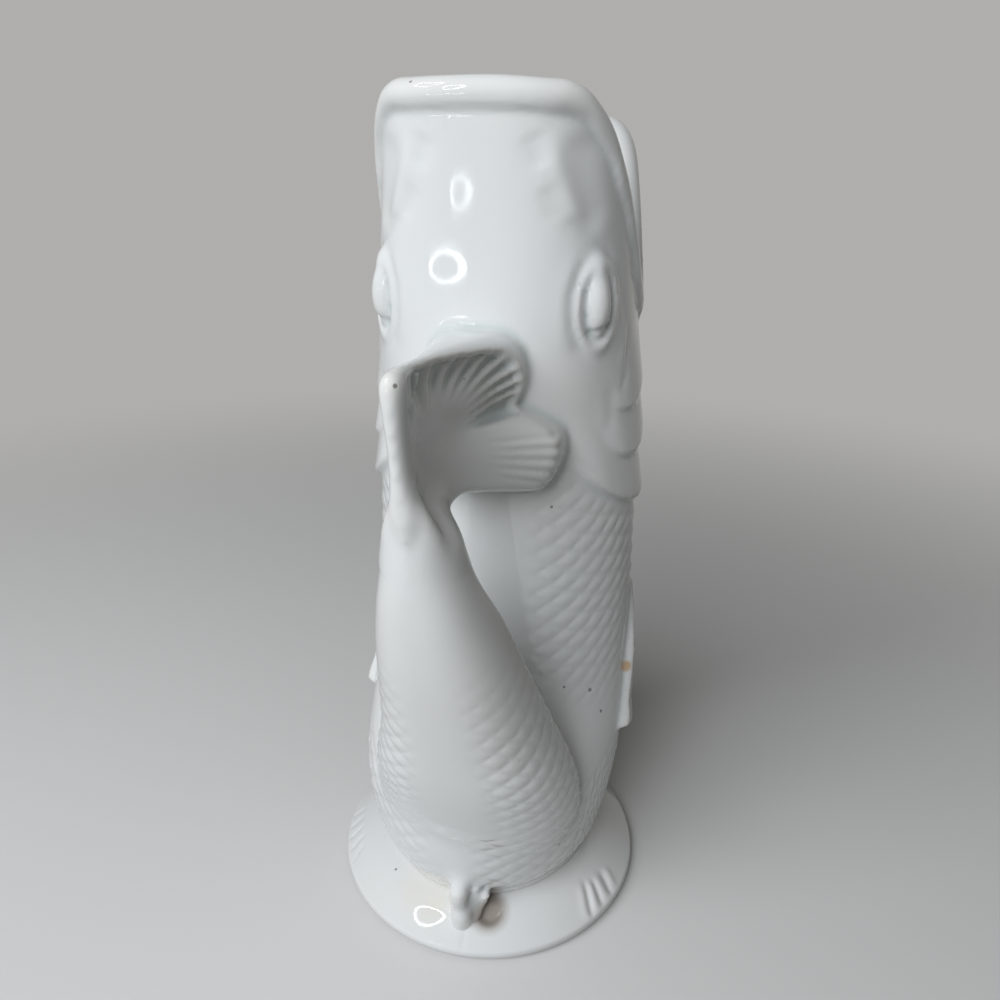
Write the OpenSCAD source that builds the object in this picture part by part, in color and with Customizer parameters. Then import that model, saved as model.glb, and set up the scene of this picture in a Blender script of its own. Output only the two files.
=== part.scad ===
// Glazed earthenware gurgle jug in the shape of an upright fish with its mouth wide open.
// The fish bends back on itself: its hollow tail rises behind it and grips the back of the
// head with the tail fin, so that the tail is the handle and holds the air that gurgles.
// +X points to the pouring lip, +Y to the fish's left, +Z up. The origin is the middle of the foot.

/* [Overall] */
// Height from the table to the lips
jug_height = 237.5; // [200:0.5:285]
// Diameter of the round foot
foot_diameter = 100; // [86:1:122]
// Height of the flat seat on the foot that carries the fish
seat_height = 10; // [8.5:0.5:12]
// Thickness of the cast wall
wall = 4.5; // [3.6:0.1:5.4]

/* [Fish body] */
// Width across the flanks
body_width = 84; // [70:1:100]
// Depth from back to belly, above the root of the tail
body_depth = 66; // [56:1:79]
// How far the middle of the body stands ahead of the middle of the foot
body_lean = 14; // [11:0.5:17]
// How far the pouring lip reaches ahead of the belly
spout_reach = 14; // [11:0.5:17]

/* [Mouth] */
// Depth of the corners of the mouth below the lips
mouth_depth = 48; // [38:1:58]
// Thickness of the rolled lips
lip_thickness = 8; // [7:0.5:9.5]

/* [Tail handle] */
// Distance from the middle of the foot to the rear edge of the tail
handle_reach = 74; // [65:1:89]
// Width of the tail where a hand grips it
grip_width = 20; // [17:1:24]
// Depth of the tail where a hand grips it
grip_depth = 18; // [15:1:21.5]
// Thickness of the rolled border of the tail fin
border_thickness = 6; // [5:0.5:7]
// Width of the tail fin where it wraps round the head
fin_spread = 47; // [39:1:56]
// How far the rim of the tail fin stands off the head
fin_rim = 4; // [3.3:0.1:4.8]
// Radius of the rounded ends of the finger hole
hole_round = 6; // [5:0.5:7]
// Number of flutes on each side of the upper lobe
flute_count = 9; // [7:1:11]
// Radius of a flute
flute_radius = 2; // [1.6:0.1:2.4]

/* [Face] */
// Diameter of the eyelid
eyelid_diameter = 24; // [20:0.5:28.5]
// Thickness of the eyelid's rim
eyelid_thickness = 4; // [3.3:0.1:4.8]
// Diameter of the eyeball
eyeball_diameter = 14; // [11.5:0.5:17]
// Thickness of a gill plate at its free edge
gill_thickness = 2; // [1.7:0.1:2.4]
// Width of a gill plate, from its root to its free edge
gill_width = 17; // [14:0.5:20]

/* [Small fins] */
// Length of a side fin
side_fin_length = 46; // [38:1:55]
// Thickness of a ray of the side fins
side_ray_thickness = 4; // [3.3:0.1:4.8]
// How far the under fin stands behind the fish
under_fin_reach = 9; // [7.5:0.5:10.5]
// Thickness of the under fin's rounded edge
under_fin_thickness = 8; // [6.6:0.1:9.5]

/* [Foot] */
// Height of the foot's rounded edge
foot_edge_height = 5; // [4:0.5:6]
// Depth of the hollow under the foot
foot_hollow_depth = 2.5; // [2:0.1:3]
// Width of the ring that the jug stands on
foot_ring_width = 7; // [5.5:0.5:8.5]
// Thickness of a ripple on the foot
ripple_thickness = 3.6; // [3:0.1:4.3]
// Length of a ripple
ripple_length = 15; // [12:0.5:18]

/* [Hidden] */

// How finely the curved forms are cut into facets.
body_columns = 48;
body_rings = 26;
cavity_rings = 12;
tail_columns = 28;
tail_rings = 16;
ball_facets = 12;
foot_facets = 96;
// How far a cutting shape runs past what it cuts.
overrun = 5;

fish_height = jug_height - seat_height;

// Body stations from the seat to the lips: height share, back share, front share, width share.
// Back and front are shares of half the body's depth, measured from the leaning middle line.
body_shares = [
    [0, 1.42, 0.62, 0.76],
    [0.02, 1.56, 0.73, 0.84],
    [0.05, 1.68, 0.82, 0.905],
    [0.09, 1.75, 0.90, 0.95],
    [0.13, 1.74, 0.96, 0.985],
    [0.17, 1.60, 0.99, 1.005],
    [0.21, 1.38, 1.01, 1.01],
    [0.25, 1.17, 1.02, 1],
    [0.29, 1.06, 1.02, 0.985],
    [0.35, 1.02, 1.02, 0.975],
    [0.45, 1.01, 1.01, 0.96],
    [0.53, 1.02, 1, 0.945],
    [0.60, 1.03, 1, 0.93],
    [0.66, 1.02, 1.01, 0.91],
    [0.72, 1.01, 1.04, 0.88],
    [0.79, 1.01, 1.08, 0.845],
    [0.86, 1.02, 1.12, 0.81],
    [0.92, 1.04, 1.15, 0.785],
    [1, 1.08, 1.18, 0.76]
];
// Share of the spout's reach at each height share.
spout_shares = [[0, 0], [0.6, 0], [0.75, 0.08], [0.88, 0.42], [1, 0.72]];
// Squareness of the outline at the back and at the front: 2 is an oval, more is squarer.
squareness_shares = [[0, 1.9, 2], [0.35, 1.9, 2], [0.6, 1.95, 2], [0.7, 2, 2.1], [0.8, 2.2, 2.4], [1, 2.6, 3.1]];

// Tail stations up to the fin: height share of the fish, rear share of the handle's reach,
// shares of the grip's depth behind and ahead of the widest place, share of the grip's width.
tail_shares = [
    [0.06, 0.50, 0.80, 0.70, 2.1],
    [0.105, 0.565, 1.05, 0.74, 2.75],
    [0.15, 0.625, 1.18, 0.72, 3.02],
    [0.20, 0.68, 1.34, 0.52, 2.96],
    [0.25, 0.728, 1.38, 0.36, 2.68],
    [0.30, 0.768, 1.34, 0.31, 2.33],
    [0.36, 0.816, 1.22, 0.30, 2.02],
    [0.42, 0.862, 1.08, 0.30, 1.74],
    [0.48, 0.898, 0.92, 0.33, 1.43],
    [0.53, 0.920, 0.68, 0.42, 1.12],
    [0.57, 0.932, 0.58, 0.44, 0.92]
];
// Height shares of the luting seam, the end of the tail, the fin's top and the grip hole's middle.
seam_share = 0.225;
tail_end_share = 0.57;
fin_top_share = 0.747;
hole_share = 0.57;

seam_z = seat_height + fish_height * seam_share;
tail_end_z = seat_height + fish_height * tail_end_share;
fin_top_z = seat_height + fish_height * fin_top_share;
hole_z = seat_height + fish_height * hole_share;

// Smooth curve through the rows of a table: column k at place s of column 0.
function slope(t, i, k) =
    let(a = max(i - 1, 0), b = min(i + 1, len(t) - 1))
    (t[b][k] - t[a][k]) / (t[b][0] - t[a][0]);
function row_of(t, s, i = 0) = i >= len(t) - 2 || s < t[i + 1][0] ? i : row_of(t, s, i + 1);
function along(t, s, k = 1) =
    let(
        i = row_of(t, s),
        step = t[i + 1][0] - t[i][0],
        u = min(max((s - t[i][0]) / step, 0), 1),
        u2 = u * u,
        u3 = u2 * u
    )
    (2 * u3 - 3 * u2 + 1) * t[i][k] + (u3 - 2 * u2 + u) * step * slope(t, i, k)
    + (3 * u2 - 2 * u3) * t[i + 1][k] + (u3 - u2) * step * slope(t, i + 1, k);

function signed_power(v, p) = sign(v) * pow(abs(v), p);
function smooth_step(u) = let(v = min(max(u, 0), 1)) v * v * (3 - 2 * v);
function share_of_height(z) = (z - seat_height) / fish_height;

// Outline of the body at height z, at angle a round it, moved out by a distance.
function body_back(z) = body_lean - body_depth / 2 * along(body_shares, share_of_height(z), 1);
function body_front(z) =
    body_lean + body_depth / 2 * along(body_shares, share_of_height(z), 2)
    + spout_reach * along(spout_shares, share_of_height(z));
function body_half_width(z) = body_width / 2 * along(body_shares, share_of_height(z), 3);
function body_point(a, z, out = 0) =
    let(
        s = share_of_height(z),
        middle = (body_back(z) + body_front(z)) / 2,
        half = (body_front(z) - body_back(z)) / 2 + out,
        power = 2 / along(squareness_shares, s, cos(a) < 0 ? 1 : 2)
    )
    [
        middle + half * signed_power(cos(a), power),
        (body_half_width(z) + out) * signed_power(sin(a), power),
        z
    ];

// Edge of the mouth: level at the back and at the spout, with a deep corner on each side.
corner_angle = 83;
corner_rear_angle = 58;
corner_front_angle = 44;
function corner_share(a) =
    let(
        away = abs(a > 180 ? a - 360 : a) - corner_angle,
        u = max(1 - (away > 0 ? away / corner_rear_angle : -away / corner_front_angle), 0)
    )
    (u + smooth_step(u)) / 2;
function mouth_edge(a) = jug_height - mouth_depth * corner_share(a);
// On the slopes of the mouth the rolled lip is stretched upwards, so that it keeps its thickness.
function lip_stretch(a) =
    let(
        turn = 3,
        p = body_point(a - turn, mouth_edge(a)),
        q = body_point(a + turn, mouth_edge(a)),
        rise = mouth_edge(a + turn) - mouth_edge(a - turn)
    )
    min(sqrt(1 + pow(rise / norm(q - p), 2)), 2.2);

lip_radius = lip_thickness / 2;
lip_meet = acos(min(wall / lip_thickness, 1));
lip_turns = [-lip_meet, -25, 5, 35, 62, 90, 118, 148, 180, 208, 180 + lip_meet];

// A ring of the body at share u of the way from the seat to the rolled lip.
function lip_start(a) =
    mouth_edge(a) - lip_radius * lip_stretch(a) * (1 + sin(lip_meet));
function body_ring(u, out = 0, floor_z = seat_height) = [
    for (i = [0 : body_columns - 1])
        let(a = 360 * i / body_columns, z = floor_z + u * (lip_start(a) - floor_z))
        body_point(a, z, out)
];
function lip_ring(turn) = [
    for (i = [0 : body_columns - 1])
        let(a = 360 * i / body_columns)
        body_point(
            a,
            mouth_edge(a) - lip_radius * lip_stretch(a) * (1 - sin(turn)),
            lip_radius * cos(turn) - wall / 2
        )
];

// Outline of the tail at height z: an egg whose widest place lies near its front.
function tail_rear(z) = -handle_reach * along(tail_shares, share_of_height(z), 1);
function tail_behind(z) = grip_depth * along(tail_shares, share_of_height(z), 2);
function tail_ahead(z) = grip_depth * along(tail_shares, share_of_height(z), 3);
function tail_widest(z) = tail_rear(z) + tail_behind(z);
function tail_front(z) = tail_widest(z) + tail_ahead(z);
function tail_half_width(z) = grip_width / 2 * along(tail_shares, share_of_height(z), 4);
function tail_ring(z, inset = 0) = [
    for (i = [0 : tail_columns - 1])
        let(
            a = 360 * i / tail_columns,
            half_depth = cos(a) < 0 ? tail_behind(z) : tail_ahead(z)
        )
        [
            tail_widest(z) + max(half_depth - inset, wall / 4) * cos(a),
            (tail_half_width(z) - inset) * sin(a),
            z
        ]
];
tail_start_z = seat_height + fish_height * tail_shares[0][0];

// Closed solid through rings of equal length, with a fan of facets over each end.
function middle_of(ring) = [for (k = [0 : 2]) [for (p = ring) p[k]] * [for (p = ring) 1 / len(ring)]];
module loft(rings) {
    n = len(rings[0]);
    m = len(rings);
    points = concat([for (ring = rings) each ring], [middle_of(rings[0]), middle_of(rings[m - 1])]);
    sides = [
        for (j = [0 : m - 2], i = [0 : n - 1])
            let(a = j * n + i, b = j * n + (i + 1) % n)
            each [[a, a + n, b], [b, a + n, b + n]]
    ];
    bottom = [for (i = [0 : n - 1]) [i, (i + 1) % n, n * m]];
    top = [for (i = [0 : n - 1]) [n * (m - 1) + (i + 1) % n, n * (m - 1) + i, n * m + 1]];
    polyhedron(points, concat(sides, bottom, top));
}

// Solids that other pieces are fitted against.
module body_solid(out = 0) {
    loft([for (j = [0 : body_rings]) body_ring(j / body_rings, out)]);
}

module tail_solid() {
    loft([for (j = [0 : tail_rings]) tail_ring(tail_start_z + (tail_end_z - tail_start_z) * j / tail_rings)]);
}

// Air space inside the tail, open at the bottom into the body.
cavity_steps = 12;

module tail_slice(z) {
    skin = wall / 100;
    translate([0, 0, z - skin])
        linear_extrude(skin)
            polygon([for (p = tail_ring(z, wall)) [p[0], p[1]]]);
}

module tail_cavity() {
    rise = (tail_end_z - wall - tail_start_z) / cavity_steps;
    for (j = [0 : cavity_steps - 1])
        hull() {
            tail_slice(tail_start_z + rise * j);
            tail_slice(tail_start_z + rise * (j + 1));
        }
}

// Hollow body: outside, rolled lip and inside are one unbroken skin from the seat to the floor.
module hollow_body() {
    floor_z = seat_height + wall;
    loft(concat(
        [for (j = [0 : body_rings]) body_ring(j / body_rings)],
        [for (turn = lip_turns) if (turn > -lip_meet && turn < 180 + lip_meet) lip_ring(turn)],
        [for (j = [cavity_rings : -1 : 0]) body_ring(j / cavity_rings, -wall, floor_z)]
    ));
}

// Everything between two heights, to cut with.
module slab(low, high) {
    across = handle_reach + overrun;
    translate([-across, -across, low])
        cube([2 * across, 2 * across, high - low]);
}

module body_shell() {
    color("white")
        difference() {
            union() {
                hollow_body();
                difference() {
                    tail_solid();
                    slab(seam_z, jug_height);
                    body_solid(-wall / 2);
                }
            }
            tail_cavity();
        }
}

module tail_handle() {
    color("white")
        difference() {
            tail_solid();
            tail_cavity();
            body_solid();
            slab(-overrun, seam_z);
        }
}

// Fin stations from the end of the tail to the top: height share of the fin, share of the
// border's thickness at the rear edge, share of the fin's spread where it meets the head.
fin_shares = [
    [0, 2.9, 0.80],
    [0.12, 2.4, 0.90],
    [0.22, 1.75, 0.98],
    [0.31, 1.30, 1],
    [0.42, 1.02, 0.95],
    [0.51, 0.88, 0.72],
    [0.58, 0.84, 0.47],
    [0.66, 0.84, 0.52],
    [0.76, 0.90, 0.56],
    [0.86, 0.98, 0.53],
    [0.94, 1, 0.44],
    [1, 0.74, 0.27]
];
// How far the rear edge reaches at each height share of the fin, of the handle's reach.
fin_rear_shares = [[0, 0.932], [0.3, 0.948], [0.6, 0.972], [0.84, 0.996], [0.94, 1], [1, 0.978]];
// Places along the fin from the rear edge to the head.
fin_run_shares = [0, 0.012, 0.035, 0.07, 0.11, 0.17, 0.25, 0.35, 0.45, 0.55, 0.64, 0.72, 0.78, 1];
fin_rings = 20;
// How far the fin's flare is from a straight slope: 0 is straight.
flare_share = 0.9;
// The fin grows out of the tail over this share of its height.
fin_blend_share = 0.3;

function fin_share(z) = (z - tail_end_z) / (fin_top_z - tail_end_z);
function fin_rear(z) = -handle_reach * along(fin_rear_shares, fin_share(z));
function fin_head(z) = body_back(z) + body_depth * 0.16;
function fin_x(u, z) = fin_rear(z) + u * (fin_head(z) - fin_rear(z));
function fin_tail_width(x, z) =
    let(
        end_z = min(z, tail_end_z),
        out = x - tail_widest(end_z),
        reach = out < 0 ? tail_behind(end_z) : tail_ahead(end_z)
    )
    tail_half_width(end_z) * sqrt(max(1 - pow(out / reach, 2), 0));
function fin_half_width(u, z) =
    let(
        s = fin_share(z),
        x = fin_x(u, z),
        round = border_thickness * 0.8,
        inset = x - fin_rear(z),
        edge = inset >= round ? 1 : sqrt(max(1 - pow(1 - inset / round, 2), 0)),
        border = border_thickness / 2 * along(fin_shares, s, 1),
        spread = fin_spread / 2 * along(fin_shares, s, 2),
        rim_x = body_back(z) - fin_rim,
        flare = pow(min(inset / (rim_x - fin_rear(z)), 1), 1 + flare_share),
        grown = smooth_step(s / fin_blend_share)
    )
    max(
        grown * border * edge + (1 - grown) * fin_tail_width(x, z),
        border * 0.62 * edge + max(spread - border * 0.62, 0) * flare
    );
function fin_ring(z) =
    let(
        side = [for (u = fin_run_shares) [fin_x(u, z), fin_half_width(u, z), z]],
        last = len(side) - 1
    )
    concat([for (i = [last : -1 : 0]) side[i]], [for (i = [1 : last]) [side[i][0], -side[i][1], z]]);

// Flutes fan out from the root of the fin to its rim: the upper ones end below the top edge,
// the last ones on the head, just above the notch between the two lobes.
flute_root_share = 0.36;
flute_root_u = 0.12;
flute_tips = [[0.1, 0.86], [0.4, 0.9], [0.62, 0.88], [0.71, 0.78], [0.74, 0.64]];
rib_tips = [[0.74, 0.5], [0.75, 0.41], [0.75, 0.32], [0.74, 0.23]];
flute_beads = 2;

function fin_spot(u, share) =
    let(z = tail_end_z + (fin_top_z - tail_end_z) * share)
    [fin_x(u, z), fin_half_width(u, z), z];

module groove(tip_u, tip_share, from, radius) {
    for (j = [0 : flute_beads - 1])
        hull()
            for (k = [j, j + 1]) {
                w = from + (1 - from) * k / flute_beads;
                translate(fin_spot(
                    flute_root_u + (tip_u - flute_root_u) * w,
                    flute_root_share + (tip_share - flute_root_share) * w
                ))
                    sphere(radius * (0.45 + 0.55 * w), $fn = 8);
            }
}

module flutes() {
    for (k = [0 : flute_count - 1])
        let(
            w = k / (flute_count - 1) * (len(flute_tips) - 1),
            i = min(floor(w), len(flute_tips) - 2),
            tip = flute_tips[i] + (flute_tips[i + 1] - flute_tips[i]) * (w - i)
        )
        groove(tip[0], tip[1], 0.5, flute_radius);
    for (tip = rib_tips)
        groove(tip[0], tip[1], 0.55, flute_radius / 2);
}

// The top of the finger hole slopes down towards the head.
module finger_hole() {
    rear = [tail_front(tail_end_z) + hole_round, hole_z + hole_round / 3];
    front = [fin_head(hole_z) + hole_round, hole_z - hole_round / 2];
    hull()
        for (spot = [rear, front], drop = [0, 3 * hole_round])
            translate([spot[0], 0, spot[1] - drop])
                rotate([90, 0, 0])
                    cylinder(r = hole_round, h = fin_spread * 2, center = true, $fn = 32);
}

module tail_fin() {
    color("white")
        difference() {
            loft([
                for (j = [0 : fin_rings])
                    fin_ring(tail_end_z + (fin_top_z - tail_end_z) * j / fin_rings)
            ]);
            body_solid();
            finger_hole();
            flutes();
            mirror([0, 1, 0]) flutes();
        }
}

// Places children on the body's skin, with their +Z along its outward normal and +Y up the fish.
module on_skin(a, z) {
    rise = wall / 4;
    turn = 1;
    p = body_point(a, z);
    up = body_point(a, z + rise) - body_point(a, z - rise);
    round = body_point(a + turn, z) - body_point(a - turn, z);
    n = cross(round, up) / norm(cross(round, up));
    v = (up - n * (up * n)) / norm(up - n * (up * n));
    w = cross(v, n);
    multmatrix([
        [w[0], v[0], n[0], p[0]],
        [w[1], v[1], n[1], p[1]],
        [w[2], v[2], n[2], p[2]],
        [0, 0, 0, 1]
    ])
        children();
}

eye_angle = 128.5;
eye_share = 0.778;
eye_slimness_share = 0.57;
lid_beads = 12;

// Mirrors children to the fish's right side, or leaves them on its left.
module on_side(right) {
    mirror([0, right ? 1 : 0, 0])
        children();
}

module eye(right = false) {
    eye_z = seat_height + fish_height * eye_share;
    r = (eyelid_diameter - eyelid_thickness) / 2;
    color("white")
        difference() {
            on_side(right) on_skin(eye_angle, eye_z) {
                for (i = [0 : lid_beads - 1])
                    hull() {
                        for (a = [i, i + 1])
                            translate([
                                r * eye_slimness_share * cos(360 * a / lid_beads),
                                r * sin(360 * a / lid_beads),
                                0
                            ])
                                sphere(d = eyelid_thickness, $fn = 8);
                    }
                scale([eye_slimness_share, 1, 1 / 2])
                    sphere(d = eyeball_diameter, $fn = 20);
            }
            body_solid();
            hollow_body();
        }
}

// Three overlapping plates. Each is a crescent that thickens towards its lower free edge.
gill_low_shares = [0.655, 0.596, 0.531];
gill_from_angles = [62, 58, 54];
gill_to_angles = [118, 130, 142];
gill_steps = 9;
// The edge is lowest at the middle angle, and at the bend angle from it has risen by a share of the width.
gill_middle_angles = [108, 104, 94];
gill_rise_shares = [0.4, 0.55, 0.4];
gill_bend_angle = 30;

// How far plate k reaches up: at least behind the free edge of the plate above it.
function gill_reach(k) =
    k == 0 ? gill_width : max(
        gill_width,
        fish_height * (gill_low_shares[k - 1] - gill_low_shares[k]) + 2 * gill_thickness
    );

// A rib of plate k at share u of the way round it, from the front to the back.
module gill_rib(k, u) {
    a = gill_from_angles[k] + (gill_to_angles[k] - gill_from_angles[k]) * u;
    away = pow(2 * u - 1, 2);
    bend = pow((a - gill_middle_angles[k]) / gill_bend_angle, 2);
    low = seat_height + fish_height * gill_low_shares[k] + gill_width * gill_rise_shares[k] * bend;
    // The root stays below the rolled lip.
    reach = max(min(gill_reach(k), lip_start(a) - gill_thickness - low), gill_thickness);
    thick = gill_thickness * (1 - 0.8 * away);
    for (spot = [[0, thick], [0.08, thick], [1, 0]])
        translate(body_point(a, low + reach * spot[0], spot[1] - thick))
            cube(thick / 4, center = true);
    for (spot = [[0, thick], [0.5, thick / 2]])
        translate(body_point(a, low + reach * spot[0], spot[1]))
            cube(thick / 8, center = true);
}

module gill_plates(right = false) {
    color("white")
        difference() {
            on_side(right)
                for (k = [0 : len(gill_low_shares) - 1], j = [0 : gill_steps - 1])
                    hull() {
                        gill_rib(k, j / gill_steps);
                        gill_rib(k, (j + 1) / gill_steps);
                    }
            body_solid();
            hollow_body();
        }
}

// Fan of rays lying on the flank and pointing down, with knobbed tips.
side_fin_share = 0.385;
side_fin_angle = 77;
side_ray_count = 8;
side_fan_angle = 20;

module side_ray(k) {
    lean = side_fan_angle * (2 * k / (side_ray_count - 1) - 1);
    root_z = seat_height + fish_height * side_fin_share;
    length = side_fin_length * (1 - 0.12 * abs(lean) / side_fan_angle);
    root = body_point(side_fin_angle + lean / 6, root_z, side_ray_thickness * -0.2);
    tip = body_point(side_fin_angle + lean, root_z - length, side_ray_thickness * 0.45);
    bend = body_point(side_fin_angle + lean * 0.7, root_z - length / 2, side_ray_thickness * 0.55);
    hull() {
        translate(root) sphere(d = side_ray_thickness, $fn = 8);
        translate(bend) sphere(d = side_ray_thickness, $fn = 8);
    }
    hull() {
        translate(bend) sphere(d = side_ray_thickness, $fn = 8);
        translate(tip) sphere(d = side_ray_thickness * 1.15, $fn = 8);
    }
}

module side_fin(right = false) {
    color("white")
        difference() {
            on_side(right)
                for (k = [0 : side_ray_count - 1])
                    side_ray(k);
            body_solid();
        }
}

// Small fin under the bend of the fish: a rounded edge that reaches the foot, with rays behind it.
under_fin_shares = [[0.095, 0.1], [0.07, 0.62], [0.045, 0.98], [0.02, 1], [0, 0.96]];
under_ray_count = 4;
under_ray_share = 0.34;
// The fin stands a little to the right of the middle.
under_fin_angle = 2;

function under_edge(row) =
    let(z = seat_height + fish_height * row[0])
    [body_back(z) - under_fin_reach * row[1] + under_fin_thickness / 4, 0, z];

module under_fin() {
    last = len(under_fin_shares) - 1;
    color("white")
        difference() {
            rotate([0, 0, under_fin_angle]) {
                for (j = [0 : last - 1])
                    hull() {
                        translate(under_edge(under_fin_shares[j]))
                            sphere(d = under_fin_thickness, $fn = ball_facets);
                        translate(under_edge(under_fin_shares[j + 1]))
                            sphere(d = under_fin_thickness, $fn = ball_facets);
                    }
                for (k = [0 : under_ray_count - 1], side = [-1, 1])
                    under_ray(k, side);
            }
            body_solid();
            foot_solid();
        }
}

module under_ray(k, side) {
    share = k / (under_ray_count - 1);
    edge = under_edge(under_fin_shares[1 + k % 4]);
    z = seat_height + fish_height * (0.06 - 0.055 * share);
    end = body_point(180 - side * (9 + 14 * share), z);
    hull() {
        translate(edge) sphere(d = under_fin_thickness * 0.7, $fn = 8);
        translate(end) sphere(d = under_fin_thickness * under_ray_share, $fn = 8);
    }
}

// Foot: a low dome with a rounded edge, hollowed below so that it stands on a ring.
foot_radius = foot_diameter / 2;
seat_radius = body_width / 2 * body_shares[0][3] + wall / 2;
edge_steps = 6;
dome_steps = 6;

module foot_profile() {
    half = foot_edge_height / 2;
    hollow_radius = foot_radius - half - foot_ring_width;
    polygon(concat(
        [[0, foot_hollow_depth], [hollow_radius - foot_hollow_depth, foot_hollow_depth], [hollow_radius, 0]],
        [
            for (j = [0 : edge_steps])
                let(a = -90 + 120 * j / edge_steps)
                [foot_radius - half + half * cos(a), half + half * sin(a)]
        ],
        [
            for (j = [1 : dome_steps])
                let(
                    u = j / dome_steps,
                    from = foot_radius - half + half * cos(30),
                    low = half + half * sin(30)
                )
                [from + (seat_radius - from) * u, low + (seat_height - low) * sin(90 * u)]
        ],
        [[0, seat_height]]
    ));
}

module foot_solid() {
    rotate_extrude($fn = foot_facets) foot_profile();
}

// Ripples stand on the dome in a group of three on each side of the fish.
ripple_angles = [105, 113, 121];

module ripple(a) {
    middle = (foot_radius + seat_radius) / 2;
    rotate([0, 0, a])
        translate([middle, 0, (foot_edge_height + seat_height) / 2])
            rotate([0, 90 + atan((seat_height - foot_edge_height) / (foot_radius - seat_radius)), 0]) {
                cylinder(d = ripple_thickness, h = ripple_length - ripple_thickness, center = true, $fn = 24);
                for (end = [-1, 1])
                    translate([0, 0, end * (ripple_length - ripple_thickness) / 2])
                        sphere(d = ripple_thickness, $fn = 24);
            }
}

module foot() {
    color("white") {
        foot_solid();
        for (a = ripple_angles) {
            ripple(a);
            ripple(-a);
        }
    }
}

foot();
body_shell();
tail_handle();
tail_fin();
under_fin();
side_fin();  // side_fin_left
side_fin(right = true);  // side_fin_right
gill_plates();  // gill_plates_left
gill_plates(right = true);  // gill_plates_right
eye();  // eye_left
eye(right = true);  // eye_right
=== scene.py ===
"""Glazed earthenware gurgle jug: an upright fish whose hollow tail bends round to the back of its head."""

import math

import bmesh
import bpy
import numpy as np
from mathutils import Matrix, Vector


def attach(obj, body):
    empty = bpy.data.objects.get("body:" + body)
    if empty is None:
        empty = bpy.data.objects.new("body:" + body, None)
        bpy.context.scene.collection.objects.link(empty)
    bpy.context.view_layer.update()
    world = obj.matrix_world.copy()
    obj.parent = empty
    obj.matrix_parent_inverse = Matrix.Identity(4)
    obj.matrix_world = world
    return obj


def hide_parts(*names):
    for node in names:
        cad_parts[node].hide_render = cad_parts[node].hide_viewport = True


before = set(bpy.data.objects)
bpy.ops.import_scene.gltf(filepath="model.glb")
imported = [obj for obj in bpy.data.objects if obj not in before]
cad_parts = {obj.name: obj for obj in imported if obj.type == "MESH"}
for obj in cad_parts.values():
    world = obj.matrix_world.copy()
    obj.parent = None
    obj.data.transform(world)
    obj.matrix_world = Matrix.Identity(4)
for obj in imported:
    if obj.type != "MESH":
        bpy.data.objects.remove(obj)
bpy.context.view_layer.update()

MM = 0.001

# Sizes in millimetres. The frame's solids have the same ones, but a rounder back of the head than SQUARENESS gives
# and a lower line of the lips than MOUTH_EDGE.
JUG_HEIGHT = 237.5
SEAT_HEIGHT = 10.0
FISH_HEIGHT = JUG_HEIGHT - SEAT_HEIGHT
WALL = 4.5
BODY_WIDTH = 84.0
BODY_DEPTH = 66.0
BODY_LEAN = 14.0
SPOUT_REACH = 14.0
LIP_RADIUS = 4.0
HANDLE_REACH = 74.0
GRIP_WIDTH = 20.0
GRIP_DEPTH = 18.0
BORDER = 6.0
FIN_SPREAD = 47.0
FIN_RIM = 4.0
HOLE_ROUND = 6.0
FOOT_RADIUS = 50.0

# Fish stations from the seat to the lips: height share, back, front and width shares.
BODY_STATIONS = [
    [0, 1.42, 0.62, 0.76], [0.02, 1.56, 0.73, 0.84], [0.05, 1.68, 0.82, 0.905], [0.09, 1.75, 0.90, 0.95],
    [0.13, 1.74, 0.96, 0.985], [0.17, 1.60, 0.99, 1.005], [0.21, 1.38, 1.01, 1.01], [0.25, 1.17, 1.02, 1],
    [0.29, 1.06, 1.02, 0.985], [0.35, 1.02, 1.02, 0.975], [0.45, 1.01, 1.01, 0.96], [0.53, 1.02, 1, 0.945],
    [0.60, 1.03, 1, 0.93], [0.66, 1.02, 1.01, 0.91], [0.72, 1.01, 1.04, 0.88], [0.79, 1.01, 1.08, 0.845],
    [0.86, 1.02, 1.12, 0.81], [0.92, 1.04, 1.15, 0.785], [1, 1.08, 1.18, 0.76],
]
SPOUT_STATIONS = [[0, 0], [0.6, 0], [0.75, 0.08], [0.88, 0.42], [1, 0.72]]
SQUARENESS = [
    [0, 1.9, 2], [0.35, 1.9, 2], [0.6, 1.95, 2], [0.66, 2, 2.05], [0.72, 2.3, 2.1], [0.78, 2.7, 2.35], [0.88, 2.9, 2.6],
    [1, 3, 3.1],
]
TAIL_STATIONS = [
    [0.06, 0.50, 0.80, 0.70, 2.1], [0.105, 0.565, 1.05, 0.74, 2.75], [0.15, 0.625, 1.18, 0.72, 3.02],
    [0.20, 0.68, 1.34, 0.52, 2.96], [0.25, 0.728, 1.38, 0.36, 2.68], [0.30, 0.768, 1.34, 0.31, 2.33],
    [0.36, 0.816, 1.22, 0.30, 2.02], [0.42, 0.862, 1.08, 0.30, 1.74], [0.48, 0.898, 0.92, 0.33, 1.43],
    [0.53, 0.920, 0.68, 0.42, 1.12], [0.57, 0.932, 0.58, 0.44, 0.92],
]
FIN_STATIONS = [
    [0, 2.9, 0.80], [0.12, 2.4, 0.90], [0.22, 1.75, 0.98], [0.31, 1.30, 1], [0.42, 1.02, 0.95],
    [0.51, 0.88, 0.72], [0.58, 0.84, 0.47], [0.66, 0.84, 0.52], [0.76, 0.90, 0.56], [0.86, 0.98, 0.53],
    [0.94, 1, 0.44], [1, 0.74, 0.27],
]
FIN_REAR = [[0, 0.932], [0.3, 0.948], [0.6, 0.972], [0.84, 0.996], [0.94, 1], [1, 0.978]]
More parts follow.
